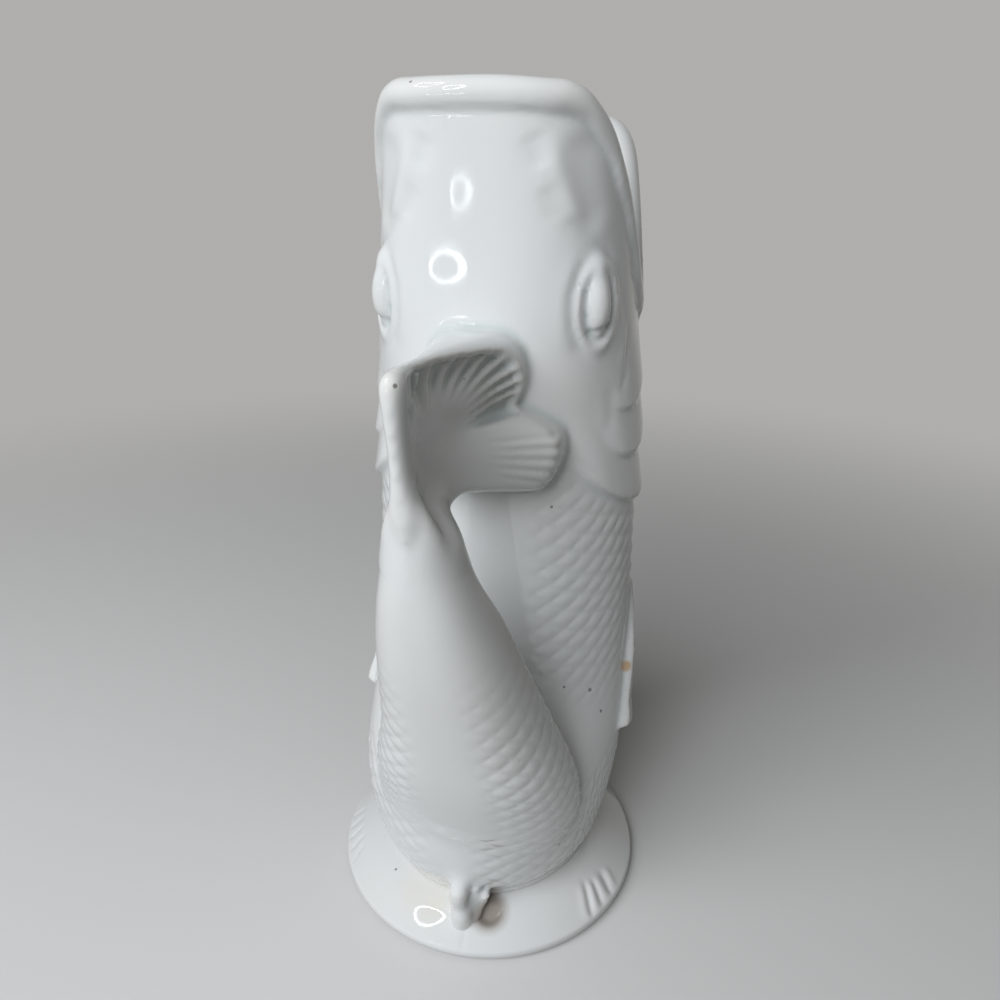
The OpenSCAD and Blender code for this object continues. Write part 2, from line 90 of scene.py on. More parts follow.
# How much wider the tail is, low down, than its stations say.
TAIL_FULLER = 0.8
TAIL_START_Z = SEAT_HEIGHT + FISH_HEIGHT * 0.06
TAIL_END_Z = SEAT_HEIGHT + FISH_HEIGHT * 0.57
FIN_TOP_Z = SEAT_HEIGHT + FISH_HEIGHT * 0.747
# The fin's roll stands higher than the frame's fin, and the fin is stretched up to it from here.
ROLL_TOP_Z = FIN_TOP_Z + 1.7
ROLL_START_Z = 168
HOLE_Z = SEAT_HEIGHT + FISH_HEIGHT * 0.57


def station(table, share, column=1):
    """Value of a column at a share of the table's length, on a smooth curve through its rows."""
    t = np.array(table, float)
    s = np.asarray(share, float)
    rows = np.arange(len(t))
    before, after = np.maximum(rows - 1, 0), np.minimum(rows + 1, len(t) - 1)
    slope = (t[after, column] - t[before, column]) / (t[after, 0] - t[before, 0])
    i = np.clip(np.searchsorted(t[:, 0], s, side="right") - 1, 0, len(t) - 2)
    step = t[i + 1, 0] - t[i, 0]
    u = np.clip((s - t[i, 0]) / step, 0, 1)
    return (
        (2 * u**3 - 3 * u**2 + 1) * t[i, column] + (u**3 - 2 * u**2 + u) * step * slope[i]
        + (3 * u**2 - 2 * u**3) * t[i + 1, column] + (u**3 - u**2) * step * slope[i + 1]
    )


def ramp(v, start, end):
    """0 before start, 1 after end, smooth between."""
    u = np.clip((np.asarray(v, float) - start) / (end - start), 0, 1)
    return u * u * (3 - 2 * u)


def within(v, start, full, still, end):
    """0 before start and after end, 1 from full to still, smooth between."""
    return ramp(v, start, full) * ramp(v, end, still)


def signed_power(v, power):
    return np.sign(v) * np.abs(v) ** power


def circle(n):
    """Angles round a circle, in radians."""
    return np.radians(np.arange(n) * 360 / n)


def beside(u, v, start, end, ends=True):
    """Share of the way along a line at which places lie, and their distance from the line or its ends."""
    d = np.subtract(end, start)
    t = ((u - start[0]) * d[0] + (v - start[1]) * d[1]) / (d @ d)
    t = np.clip(t, 0, 1) if ends else t
    return t, np.hypot(u - start[0] - t * d[0], v - start[1] - t * d[1])


def of_height(z):
    """Share of the fish's height."""
    return (np.asarray(z, float) - SEAT_HEIGHT) / FISH_HEIGHT


# ---- the fish's body ----

def body_back(z):
    return BODY_LEAN - BODY_DEPTH / 2 * station(BODY_STATIONS, of_height(z), 1)


def body_front(z):
    s = of_height(z)
    return BODY_LEAN + BODY_DEPTH / 2 * station(BODY_STATIONS, s, 2) + SPOUT_REACH * station(SPOUT_STATIONS, s)


def body_half_width(z):
    return BODY_WIDTH / 2 * station(BODY_STATIONS, of_height(z), 3)


def squareness(c, share):
    """Power of the body's outline, behind where c is under 0 and ahead elsewhere."""
    return np.where(c < 0, station(SQUARENESS, share, 1), station(SQUARENESS, share, 2))


def body_point(a, z, out=0):
    """Point of the body at angle a in degrees round it and height z, moved out by a distance."""
    a, z, out = np.broadcast_arrays(np.asarray(a, float), np.asarray(z, float), np.asarray(out, float))
    c, s = np.cos(np.radians(a)), np.sin(np.radians(a))
    power = 2 / squareness(c, of_height(z))
    back, front = body_back(z), body_front(z)
    x = (back + front) / 2 + ((front - back) / 2 + out) * signed_power(c, power)
    y = (body_half_width(z) + out) * signed_power(s, power)
    return np.stack([x, y, z], -1)


def body_place(p):
    """Angle round the body in degrees, from 0 to 360, and distance out from its skin, for points."""
    x, y, z = p[:, 0], p[:, 1], p[:, 2]
    back, front = body_back(z), body_front(z)
    c = (x - (back + front) / 2) / ((front - back) / 2)
    s = y / body_half_width(z)
    power = squareness(c, of_height(z)) / 2
    c2, s2 = signed_power(c, power), signed_power(s, power)
    a = np.degrees(np.arctan2(s2, c2)) % 360
    out = (np.hypot(c2, s2) - 1) * np.where(np.abs(c) > 0.7, (front - back) / 2, body_half_width(z))
    return a, out


def to_side(a):
    """Angle from the front of the fish, from 0 to 180, on either side."""
    a = np.asarray(a, float) % 360
    return np.where(a > 180, 360 - a, a)


# Height of the lips by the angle from the front of the fish.
MOUTH_EDGE = [
    [0, 237.5], [28, 237.5], [36, 236.8], [42, 235.4], [48, 233.3], [54, 230.2], [60, 225.2], [66, 217.4],
    [72, 207.6], [78, 197.6], [83, 192.4], [88, 195], [96, 207.1], [102, 213.8], [108, 219.8], [114, 224.6],
    [120, 228.9], [126, 231.9], [132, 234.2], [138, 236], [144, 236.9], [150, 237.3], [158, 237.2], [180, 237.5],
]
# How much the fish's left lip is higher than its right.
LIP_TILT = 1.2


def mouth_edge(a):
    return station(MOUTH_EDGE, to_side(a)) + LIP_TILT * np.sin(np.radians(a))


def lip_stretch(a):
    """How much taller the lips' section is where they run up steeply."""
    turn = 3
    p, q = body_point(a - turn, mouth_edge(a)), body_point(a + turn, mouth_edge(a))
    rise = mouth_edge(a + turn) - mouth_edge(a - turn)
    return np.minimum(np.sqrt(1 + (rise / np.linalg.norm(q - p, axis=-1)) ** 2), 2.2)


# Angle at which the round of the lips meets the two sides of the wall.
LIP_MEET = math.degrees(math.acos(min(WALL / (2 * LIP_RADIUS), 1)))


def lip_start(a):
    return mouth_edge(a) - LIP_RADIUS * lip_stretch(a) * (1 + math.sin(math.radians(LIP_MEET)))


# ---- relief on the fish's skin, as heights above it ----

def skin_frame(a, z):
    """Point on the skin, with the directions along it, up it and out of it."""
    p = body_point(a, z)
    up = body_point(a, z + 1) - body_point(a, z - 1)
    along = body_point(a + 1, z) - body_point(a - 1, z)
    out = np.cross(along, up)
    out /= np.linalg.norm(out)
    up = up - out * (up @ out)
    up /= np.linalg.norm(up)
    return p, np.cross(up, out), up, out


def near_line(p, line):
    """Distance of points from a line drawn on the skin as (angle, height) rows, and how far along it they lie."""
    spots = body_point([a for a, _ in line], [z for _, z in line])
    lengths = np.linalg.norm(np.diff(spots, axis=0), axis=1)
    total, done = lengths.sum(), 0.0
    best, share = np.full(p.shape[:-1], 1e9), np.zeros(p.shape[:-1])
    for q, r, length in zip(spots, spots[1:], lengths):
        t = np.clip((p - q) @ (r - q) / length**2, 0, 1)
        away = np.linalg.norm(p - q - t[..., None] * (r - q), axis=-1)
        nearer = away < best
        best, share = np.where(nearer, away, best), np.where(nearer, (done + t * length) / total, share)
        done += length
    return best, share


def fold(p, line, height, width, taper=0.25):
    """Soft ridge, or a crease where the height is negative, that dies away at both ends."""
    away, share = near_line(p, line)
    return height * np.exp(-((away / width) ** 2)) * within(share, 0, taper, 1 - taper, 1)


FACE_FOLDS = [
    # line on the skin, height, width
    ([(160.4, 225.9), (154.9, 219.4), (151.3, 214.9), (144.6, 208.5), (137.1, 204.1)], 0.75, 2.6),
    ([(166.3, 225.9), (163.6, 221.9), (160.8, 218)], -0.7, 3.0),
    ([(160, 215), (156.1, 211), (153.1, 207)], -0.6, 2.8),
    ([(143.7, 227.8), (140.9, 218.9), (135.8, 209), (130.4, 204.1)], -1.1, 5.0),
    ([(156.1, 209), (145.6, 206.6), (135.9, 203.8), (127.2, 201.1), (117, 196.2)], -0.9, 1.9),
    ([(133.6, 201.1), (142.4, 195.8), (146.1, 190.4), (145.7, 183.3), (140.6, 177.8), (129.4, 172.8)], -0.9, 1.7),
    ([(137.2, 200.6), (145.5, 196.7), (150.3, 190.2), (149.8, 182.3), (144.4, 175.3)], 0.5, 2.4),
    ([(119.3, 199.2), (112.5, 192.3), (109.2, 184.4), (110.3, 176.3)], -0.6, 1.1),
    ([(104.6, 184.3), (106.5, 177.3), (110, 169), (116, 163)], -0.8, 0.9),
    ([(109.2, 184.4), (110.8, 177.3), (114, 170)], 0.5, 1.5),
    ([(121, 168), (121, 159), (123, 152)], -0.4, 2.0),
]
# Softness of the worn mould, and the angle and height of the eye.
FOLD_SHARE = 0.62
EYE_PLACE = (131.2, 187.4)


def face_relief(p):
    return sum(fold(p, line, FOLD_SHARE * height, width) for line, height, width in FACE_FOLDS)


def fold_line(w, v, start, end, height, width):
    return height * np.exp(-((beside(w, v, start, end)[1] / width) ** 2))


def eye_relief(p, lid_radius=10.4, lid_half=2.0, lid_height=1.35, almond=0.56):
    """An almond lid, strongest towards the back, round a long domed eyeball with a crease under it."""
    centre, along, up, out = skin_frame(*EYE_PLACE)
    w, v, n = (p - centre) @ along, (p - centre) @ up, (p - centre) @ out
    r = np.hypot(w / almond, v)
    turn = np.arctan2(v, w / almond)
    lid = lid_height * np.exp(-(((r - lid_radius) / lid_half) ** 2)) * (0.72 + 0.28 * np.sin(turn - 0.5))
    hollow = -np.exp(-(((r - 7.6) / 1.8) ** 2))
    s = np.hypot((w + 0.2 - 0.05 * v) / 0.42, v - 1.2) / 9.0
    ball = 2.7 * np.clip(1 - s * s, 0, 1) ** 0.8
    crease = fold_line(w, v, (-2.6, -5.0), (2.4, -6.6), -0.9, 0.8)
    crease = crease + fold_line(w, v, (-3.6, 3.0), (-3.8, -4.5), -0.5, 0.9)
    return np.where(n > -15, lid + hollow * (1 - ramp(s, 1.15, 0.9)) + ball + crease, 0)


GILL_PLATES = [
    # lowest height, angle of the lowest place, rise, first and last angle, edge thickness
    (159.0, 110, 7.0, 62, 128, 1.5),
    (145.6, 104, 10.0, 58, 132, 1.9),
    (130.8, 94, 6.6, 54, 146, 2.3),
]


def gill_relief(a, z, width=17.0):
    """Three overlapping plates that end in a raised lower edge."""
    height = np.zeros_like(z)
    for low_z, middle, rise, first, last, thickness in GILL_PLATES:
        low = low_z + rise * ((a - middle) / 30) ** 2
        t = (z - low) / width
        soft = 0.03 + 0.10 * ramp(a, 112, last)
        plate = thickness * np.clip(1 - t, 0, 1) * ramp(t, -soft, soft)
        plate = plate * within(a, first, first + 12, last - 22, last)
        height = np.maximum(height, plate)
    return height


# Angle of the side fins' middle, and length of one degree round the flank and round the back.
SIDE_FIN_ANGLE, FLANK_DEGREE, BACK_DEGREE = 77, 0.735, 0.64
SIDE_FIN_ROOT_Z = SEAT_HEIGHT + FISH_HEIGHT * 0.385


def side_fin_relief(a, z, length=46.0, rays=8, fan=20.0):
    """Rays that fan out downwards over the flank and end in knobs."""
    w = (a - SIDE_FIN_ANGLE) * FLANK_DEGREE
    height = np.zeros_like(z)
    for k in range(rays):
        lean = fan * (2 * k / (rays - 1) - 1)
        reach = length * (1 - 0.12 * abs(lean) / fan)
        # Turn, depth below the root, height above the skin and radius of places along the ray.
        path = [
            (lean / 6, 0, -0.8, 2.0), (lean * 0.7, reach / 2, 1.1, 2.0), (lean * 0.95, reach * 0.86, 0.7, 1.9),
            (lean, reach, 1.1, 2.5),
        ]
        for (a0, z0, o0, r0), (a1, z1, o1, r1) in zip(path, path[1:]):
            start, end = (a0 * FLANK_DEGREE, SIDE_FIN_ROOT_Z - z0), (a1 * FLANK_DEGREE, SIDE_FIN_ROOT_Z - z1)
            t, away = beside(w, z, start, end)
            radius, out = r0 + (r1 - r0) * t, o0 + (o1 - o0) * t
            bump = out + np.sqrt(np.clip(radius**2 - away**2, 0, None))
            height = np.maximum(height, np.where(away < radius, bump, 0))
    return height


def skin_relief(a, z):
    """All relief of the skin, with the fillet that joins it to the foot."""
    side = to_side(a)
    p = body_point(side, z)
    fillet = 2.6 * ramp(z, 14.5, 9.6) ** 2
    return face_relief(p) + eye_relief(p) + gill_relief(side, z) + side_fin_relief(side, z) + fillet


# ---- solids ----

def placed(name, data):
    """New object in the scene that holds the data."""
    thing = bpy.data.objects.new(name, data)
    bpy.context.scene.collection.objects.link(thing)
    return thing


def surface(name, verts, faces):
    """Object with a mesh of points in metres."""
    mesh = bpy.data.meshes.new(name)
    mesh.from_pydata(verts, [], faces)
    mesh.update()
    return placed(name, mesh)


def from_bmesh(name, bm):
    mesh = bpy.data.meshes.new(name)
    bm.to_mesh(mesh)
    bm.free()
    return placed(name, mesh)


def loft(name, rings):
    """Closed solid through rings of equal length."""
    rings = np.asarray(rings, float)
    m, n = rings.shape[:2]
    verts = np.vstack([rings.reshape(-1, 3), rings[0].mean(0), rings[-1].mean(0)])
    i = np.arange(n)
    after = (i + 1) % n
    faces = []
    for j in range(m - 1):
        faces += np.stack([j * n + i, j * n + after, (j + 1) * n + after, (j + 1) * n + i], 1).tolist()
    faces += np.stack([after, i, np.full(n, n * m)], 1).tolist()
    faces += np.stack([n * (m - 1) + i, n * (m - 1) + after, np.full(n, n * m + 1)], 1).tolist()
    return surface(name, (verts * MM).tolist(), faces)


def hull(name, parts):
    """Convex hull of points."""
    bm = bmesh.new()
    for p in np.vstack(parts):
        bm.verts.new(p * MM)
    bmesh.ops.convex_hull(bm, input=bm.verts[:])
    bmesh.ops.delete(bm, geom=[v for v in bm.verts if not v.link_faces], context="VERTS")
    return from_bmesh(name, bm)


def ball_points(centre, radius, rings=10, columns=16):
    t = np.radians(np.linspace(0, 180, rings + 1))[:, None]
    f = circle(columns)[None, :]
    p = np.stack([np.sin(t) * np.cos(f), np.sin(t) * np.sin(f), np.cos(t) + 0 * f], -1).reshape(-1, 3)
    return np.asarray(centre) + radius * p


def plain_mesh(piece):
    """Bakes a piece's modifiers into a plain mesh."""
    done = bpy.data.meshes.new_from_object(piece.evaluated_get(bpy.context.evaluated_depsgraph_get()))
    piece.modifiers.clear()
    old = piece.data
    piece.data = done
    bpy.data.meshes.remove(old)


def cut(piece, *cutters):
    for cutter in cutters:
        m = piece.modifiers.new("cut", "BOOLEAN")
        m.operation, m.solver, m.object = "DIFFERENCE", "MANIFOLD", cutter
    plain_mesh(piece)


def drop(*pieces):
    for piece in pieces:
        bpy.data.objects.remove(piece)


COLUMNS = 300


def body_rings():
    """Up the outside of the body, over the lips and down its inside."""
    a = np.arange(COLUMNS) * 360 / COLUMNS
    rings = []
    for u in np.linspace(0, 1, COLUMNS):
        z = SEAT_HEIGHT + u * (lip_start(a) - SEAT_HEIGHT)
        rings.append(body_point(a, z, skin_relief(a, z)))
    for turn in np.linspace(-LIP_MEET, 180 + LIP_MEET, 18)[1:-1]:
        t = math.radians(turn)
        z = mouth_edge(a) - LIP_RADIUS * lip_stretch(a) * (1 - math.sin(t))
        rings.append(body_point(a, z, LIP_RADIUS * math.cos(t) - WALL / 2))
    floor_z = SEAT_HEIGHT + WALL
    for u in np.linspace(1, 0, COLUMNS // 3):
        rings.append(body_point(a, floor_z + u * (lip_start(a) - floor_z), -WALL))
    return rings


def body_core(out):
    """The body filled up, to cut other pieces with."""
    a = np.arange(96) * 360 / 96
    return loft("core", [
        body_point(a, SEAT_HEIGHT + u * (lip_start(a) - SEAT_HEIGHT), out) for u in np.linspace(0, 1, 60)
    ])


def tail_rear(z):
    return -HANDLE_REACH * station(TAIL_STATIONS, of_height(z), 1)


def tail_behind(z):
    return GRIP_DEPTH * station(TAIL_STATIONS, of_height(z), 2)


def tail_ahead(z):
    return GRIP_DEPTH * station(TAIL_STATIONS, of_height(z), 3)


def tail_half_width(z):
    return GRIP_WIDTH / 2 * station(TAIL_STATIONS, of_height(z), 4)


def tail_lean(z):
    """How far the tail stands towards the fish's right, as it came out of the mould."""
    return 3.4 * ramp(z, 146, 62)


def tail_ring(z, inset=0, columns=96):
    """Outline of the tail, a little squarer behind than ahead."""
    c, s = np.cos(circle(columns)), np.sin(circle(columns))
    half = np.where(c < 0, tail_behind(z), tail_ahead(z))
    power = np.where(c < 0, 1 - 0.15 * within(z, 44, 70, 124, 140), 1)
    x = tail_rear(z) + tail_behind(z) + np.maximum(half - inset, WALL / 4) * signed_power(c, power)
    half_width = tail_half_width(z) + TAIL_FULLER * ramp(z, 140, 110) - inset
    y = half_width * signed_power(s, power) - tail_lean(z)
    return np.stack([x, y, np.full(columns, float(z))], -1)


def fin_share(z):
    """Share of the fin's height, with its top stretched up to the roll."""
    z = np.asarray(z, float)
    rise = (z - ROLL_START_Z) * (FIN_TOP_Z - ROLL_START_Z) / (ROLL_TOP_Z - ROLL_START_Z)
    z = np.where(z > ROLL_START_Z, ROLL_START_Z + rise, z)
    return (z - TAIL_END_Z) / (FIN_TOP_Z - TAIL_END_Z)


def fin_rear(z):
    return -HANDLE_REACH * station(FIN_REAR, fin_share(z)) - 0.8 * ramp(z, 140, 150)


def fin_head(z):
    return body_back(z) + BODY_DEPTH * 0.16


def fin_x(u, z):
    return fin_rear(z) + u * (fin_head(z) - fin_rear(z))


def larger(p, q, soft):
    """The larger of two numbers, with a soft change from one to the other."""
    return (p + q + np.sqrt((p - q) ** 2 + soft * soft)) / 2


# Length of the border's round from front to back, where the lobes start to flare, and the round of the hole's edge.
BORDER_ROUND = 3.0
FLARE_START = 11.5
HOLE_RIM = 3.2
ROLL_ROUND = 2.0


def fin_half_width(u, z):
    """Half the fin's thickness at a share of the way from its rear edge to the head."""
    s = fin_share(z)
    x = fin_x(u, z)
    inset = x - fin_rear(z)
    border = BORDER / 2 * station(FIN_STATIONS, s, 1) + 0.9 - 1.3 * ramp(s, 0.22, 0.42)
    bead = border * np.sqrt(np.clip(1 - ((inset - BORDER_ROUND) / BORDER_ROUND) ** 2, 0, 1))
    end_z = np.minimum(z, TAIL_END_Z)
    out = x - tail_rear(end_z) - tail_behind(end_z)
    reach = np.where(out < 0, tail_behind(end_z), tail_ahead(end_z))
    tail_width = (tail_half_width(end_z) + 0.4) * np.sqrt(np.clip(1 - (out / reach) ** 2, 0, 1))
    grown = ramp(s, 0, 0.42)
    edge = grown * bead + (1 - grown) * tail_width
    # Ahead of the border the web is thin, and from there the lobes flare out.
    web = 1.7 * ramp(inset, 0.5, 4)
    spread = FIN_SPREAD / 2 * station(FIN_STATIONS, s, 2)
    share = np.clip((inset - FLARE_START) / (body_back(z) - FIN_RIM - fin_rear(z) - FLARE_START), 0, 1)
    power = 1.75 + 0.35 * ramp(s, 0.5, 0.64) - 0.85 * ramp(z, ROLL_TOP_Z - 5.5, ROLL_TOP_Z - 2.8)
    lobe = web + np.maximum(spread - web, 0) * share**power
    half = larger(edge, lobe, 1.2 * np.minimum(inset / 4, 1))
    near = np.clip(1 - above_hole(x, z) / HOLE_RIM, 0, 1)
    return np.maximum(half - HOLE_RIM * (1 - np.sqrt(1 - near**2)), np.minimum(half, 0.6))


def fin_rings():
    """Level sections of the fin, rounded at the top, with the border a little to the fish's left."""
    run = np.concatenate([np.linspace(0, 1, 14)[:-1] ** 2 * 0.12, np.linspace(0.12, 1, 50)])
    round_z = ROLL_TOP_Z - ROLL_ROUND
    heights = np.linspace(TAIL_END_Z - 4, round_z, 88).tolist()
    heights += [round_z + ROLL_ROUND * math.sin(math.radians(t)) for t in range(12, 91, 13)]
    rings = []
    for z in heights:
        over = max(z - round_z, 0) / ROLL_ROUND
        round_in = ROLL_ROUND * (1 - math.sqrt(max(1 - over * over, 0)))
        half = fin_half_width(run, z)
        half = np.maximum(half - round_in, 0.25 * np.minimum(half, 1))
        x = fin_x(run, z) + round_in * (1 - run) ** 2
        side = np.stack([x, half, np.full(len(run), z)], -1)
        ring = np.vstack([side[::-1], side[1:] * [1, -1, 1]])
        ring[:, 1] += 0.4 * ramp(fin_share(z), 0.2, 0.45) * ramp(ring[:, 0] - fin_rear(z), 16, 5)
        rings.append(ring)
    return rings


# Middle of the round at both ends of the finger hole's upper edge.
HOLE_REAR = (
    float(tail_rear(TAIL_END_Z) + tail_behind(TAIL_END_Z) + tail_ahead(TAIL_END_Z)) + HOLE_ROUND + 1.2, HOLE_Z + 0.8,
)
HOLE_FRONT = (float(fin_head(HOLE_Z)) + HOLE_ROUND, HOLE_Z - HOLE_ROUND * 1.6)


def above_hole(x, z):
    """Distance of a place on the fin from the finger hole's edge."""
    (rear_x, rear_z), (front_x, front_z) = HOLE_REAR, HOLE_FRONT
    over = z - HOLE_ROUND - rear_z - (x - rear_x) * (front_z - rear_z) / (front_x - rear_x)
    behind = np.hypot(x - rear_x, np.maximum(z - rear_z, 0)) - HOLE_ROUND
    return np.where(x > rear_x, over, behind)


def finger_hole():
    a = circle(48)
    across, up = HOLE_ROUND * np.cos(a), HOLE_ROUND * np.sin(a)
    return hull("hole", [
        np.stack([x + across, np.full(len(a), y), z - fall + up], -1)
        for x, z in (HOLE_REAR, HOLE_FRONT) for fall in (0, 3 * HOLE_ROUND) for y in (-FIN_SPREAD, FIN_SPREAD)
    ])


UNDER_EDGE = [
    # middle and radius of the rounded edge, from the fish's skin down to the foot
    (-41.3, -3.2, 25.5, 1.8), (-43.1, -2.7, 20.6, 2.9), (-43.2, -2.5, 18.0, 3.0), (-42.7, -2.8, 14.2, 2.5),
    (-42.8, -3.3, 10.6, 3.5), (-42.4, -3.3, 8.0, 3.5),
]
UNDER_RAYS = [
    # where the rays in the hollow on its right start at the foot and end at the skin
    ((-41.6, -5.8, 7.6), (-40.6, -7.2, 20.0)), ((-41.2, -7.6, 7.4), (-39.4, -10.0, 16.5)),
]
UNDER_WEB = 2.2


def under_fin_solids():
    """Small fin under the bend: a rounded edge with a waist, a thin web, and rays in the hollow beside it."""
    balls = [ball_points((x, y, z), r) for x, y, z, r in UNDER_EDGE]
    webs = [ball_points((x + 1, y, z), UNDER_WEB) for x, y, z, _ in UNDER_EDGE]
    inner = [ball_points((-35, y, z + 2), UNDER_WEB) for _, y, z, _ in UNDER_EDGE]
    pieces = [hull("edge", pair) for pair in zip(balls, balls[1:])]
    pieces += [hull("web", parts) for parts in zip(webs, webs[1:], inner, inner[1:])]
    for low, high in UNDER_RAYS:
        middle = np.add(low, high) / 2 + (1.8, 0, 0)
        for end, radius in ((low, 1.2), (high, 1.4), (middle + (3.5, 0, 0), 1.2)):
            pieces.append(hull("ray", [ball_points(middle, 1.2), ball_points(end, radius)]))
    return pieces


def joined(name, pieces):
    """One object holding the meshes of several."""
    bm = bmesh.new()
    for piece in pieces:
        bm.from_mesh(piece.data)
    drop(*pieces)
    return from_bmesh(name, bm)


def mesh_points(mesh):
    p = np.empty(len(mesh.vertices) * 3)
    mesh.vertices.foreach_get("co", p)
    return p.reshape(-1, 3) / MM


def set_points(mesh, p):
    mesh.vertices.foreach_set("co", (p * MM).ravel())
    mesh.update()


def neighbours(mesh):
    """The two ends of every edge."""
    e = np.empty(len(mesh.edges) * 2, int)
    mesh.edges.foreach_get("vertices", e)
    return e.reshape(-1, 2)


# Steps of a smoothing round: one that keeps the size of the whole, and one that lets hollows fill and edges sink.
KEEP_SIZE, SETTLE = (0.5, -0.53), (0.5, 0.5)


def relax(p, edges, rounds, steps, weight=None):
    """Smooths points along a mesh's edges."""
    count = np.bincount(edges.ravel(), minlength=len(p))[:, None].clip(1)
    keep = 1 if weight is None else weight[:, None]
    one, other = edges.T
    for k in range(rounds * 2):
        mean = np.zeros_like(p)
        for c in range(3):
            mean[:, c] = np.bincount(one, p[other, c], len(p)) + np.bincount(other, p[one, c], len(p))
        p = p + keep * (mean / count - p) * steps[k % 2]
    return p


def rounds_for(rounds, voxel):
    """Smoothing rounds that act over the same distance whatever the size of the mesh's cells."""
    return int(round(rounds * (FINE_VOXEL / voxel) ** 2))


def soften(p, edges, voxel):
    """Rounds the tail fin, the under fin, their joints and the bend under the tail, as slip and glaze fill them."""
    x, y, z = p.T
    _, out = body_place(p)
    fin = within(z, 132, 144, 186, 196) * ramp(x, -12, -20) * ramp(out, -1.0, 0.6)
    under = ramp(z, 44, 32) * ramp(np.hypot(x + 50, y + 3), 22, 12) * ramp(out, -0.5, 1.0)
    fork = within(z, 52, 62, 80, 96) * within(x, -40, -33, -14, -8) * ramp(out, 3.0, 0.8) * (out > -1)
    weight = np.clip(np.maximum(np.maximum(fin, 0.6 * under), fork), 0, 1)
    edge = within(z, 134, 139, 150, 156) * within(x, -62, -56, -20, -12) * ramp(out, -0.6, 1.0)
    bend = within(z, 20, 27, 48, 62) * ramp(x, -26, -34)
    rounds = max(rounds_for(5, voxel), 2)
    for times, where in ((1, weight), (14, bend), (3, edge)):
        p = relax(p, edges, times * rounds, SETTLE, where)
    return p


def attribute(mesh, name, values):
    mesh.attributes.new(name, "FLOAT", "POINT").data.foreach_set("value", np.asarray(values, np.float32))


# Middle of the fan that the tail fin's flutes spread from, and the places where they end below the border.
FLUTE_ROOT = (-62.6, 160.4)
FLUTE_TIPS = [
    (-70.5, 177.8), (-61, 178.3), (-51.5, 178.3), (-43.5, 177.9), (-36.5, 177.5), (-31, 176.6), (-27.3, 174.2),
    (-25.2, 171), (-24.4, 167.8), (-25, 164.6),
]


def write_relief_places(mesh):
    """Stores where the scales, flutes, ribs and wrinkles run, for the relief to follow, and returns the names."""
    p = mesh_points(mesh)
    x, y, z = p.T
    angle, out = body_place(p)
    side = to_side(angle)
    tz = np.clip(z, TAIL_START_Z, TAIL_END_Z)
    behind, half = tail_behind(tz), tail_half_width(tz)
    tx = x - tail_rear(tz) - behind
    y_tail = y + tail_lean(tz)
    tail_out = (np.hypot(tx / np.where(tx < 0, behind, tail_ahead(tz)), y_tail / (half + TAIL_FULLER)) - 1) * half
    outside = out > -2.0
    on_tail = (out > 0.8) & (np.abs(tail_out) < 2.5) & (z < TAIL_END_Z + 2) & (z > 30)
    on_fin = (out > 0.5) & (z > TAIL_END_Z) & (z < ROLL_TOP_Z - 1.2) & (x < body_back(z) + 6)
    rear_turn = np.degrees(np.arctan2(np.abs(y_tail) / half, -tx / behind))

    # Scales: distance round the fish from its back, and up it, in millimetres.
    heights = np.linspace(SEAT_HEIGHT, 90, 200)
    back = body_back(heights)
    slack = np.concatenate([[0], np.cumsum(np.hypot(np.diff(heights), np.diff(back)) - np.diff(heights))])
    bend = np.interp(z, heights, slack) * ramp(side, 90, 150)
    body_round = (180 - side) * BACK_DEGREE * (1 - 0.1 * ramp(z, 58, 62))
    tail_round = np.radians(rear_turn) * (half + behind) / 2
    mix = ramp(z, 38, 60) * on_tail
    places = {"round_mm": np.sign(y) * (body_round * (1 - mix) + tail_round * mix), "rise_mm": z + bend}
    flank = within(side, 14, 34, 148, 163) * ramp(z, 60, 84)
    low_z, middle, rise = GILL_PLATES[-1][:3]
    plate = np.where(side < 142, low_z + rise * ((side - middle) / 30) ** 2, 147)
    flank *= ramp(z, plate - 1, plate - 7)
    fin_cover = within(side, 50, 58, 100, 106) * within(z, 44, 52, 98, 104)
    flank *= 1 - fin_cover
    bowl = within(side, 96, 112, 162, 174) * within(z, 15, 19, 44, 58)
    lower = within(side, 14, 34, 84, 96) * within(z, 15, 22, 52, 62)
    on_grip = ramp(rear_turn, 14, 34) * within(z, 38, 50, 78, 118)
    scaly = np.where(on_tail, np.maximum(on_grip, bowl * ramp(z, 50, 42)), np.maximum(np.maximum(flank, bowl), lower))
    places["scaly"] = scaly * outside * (z < TAIL_END_Z + 25)

    # Wrinkles low on the flanks, where the fish bends.
    places["wrinkled"] = outside * ~on_tail * (within(side, 88, 98, 112, 128) * within(z, 14, 20, 44, 56))

    # Flutes of the upper lobe, numbered round the fan, and ribs of the lower lobe.
    dx, dz = x - FLUTE_ROOT[0], z - FLUTE_ROOT[1]
    turn, reach = np.degrees(np.arctan2(dz, dx)), np.hypot(dx, dz)
    tips = np.subtract(FLUTE_TIPS, FLUTE_ROOT)[::-1]
    tip_turns, tip_reaches = np.degrees(np.arctan2(tips[:, 1], tips[:, 0])), np.hypot(tips[:, 0], tips[:, 1])
    share = reach / np.interp(turn, tip_turns, tip_reaches)
    fluted = within(turn, 2, 5, 117, 125) * within(share, 0.5, 0.97, 1.02, 1.10)
    fluted *= ramp(x - fin_rear(z), 7, 11) * ramp(np.abs(y), 0.6, 1.4)
    places["flute_number"] = np.interp(turn, tip_turns, np.arange(len(tips), 0, -1.0))
    places["fluted"] = fluted * on_fin
    places["rib_number"] = (turn + 4.7) / 4.5
    ribbed = within(turn, -25, -22, -3.5, -1.5) * within(x, -42, -31, -22, -19.5)
    places["ribbed"] = ribbed * on_fin * (np.abs(y) > 9)
    for name, values in places.items():
        attribute(mesh, name, values)
    return list(places)


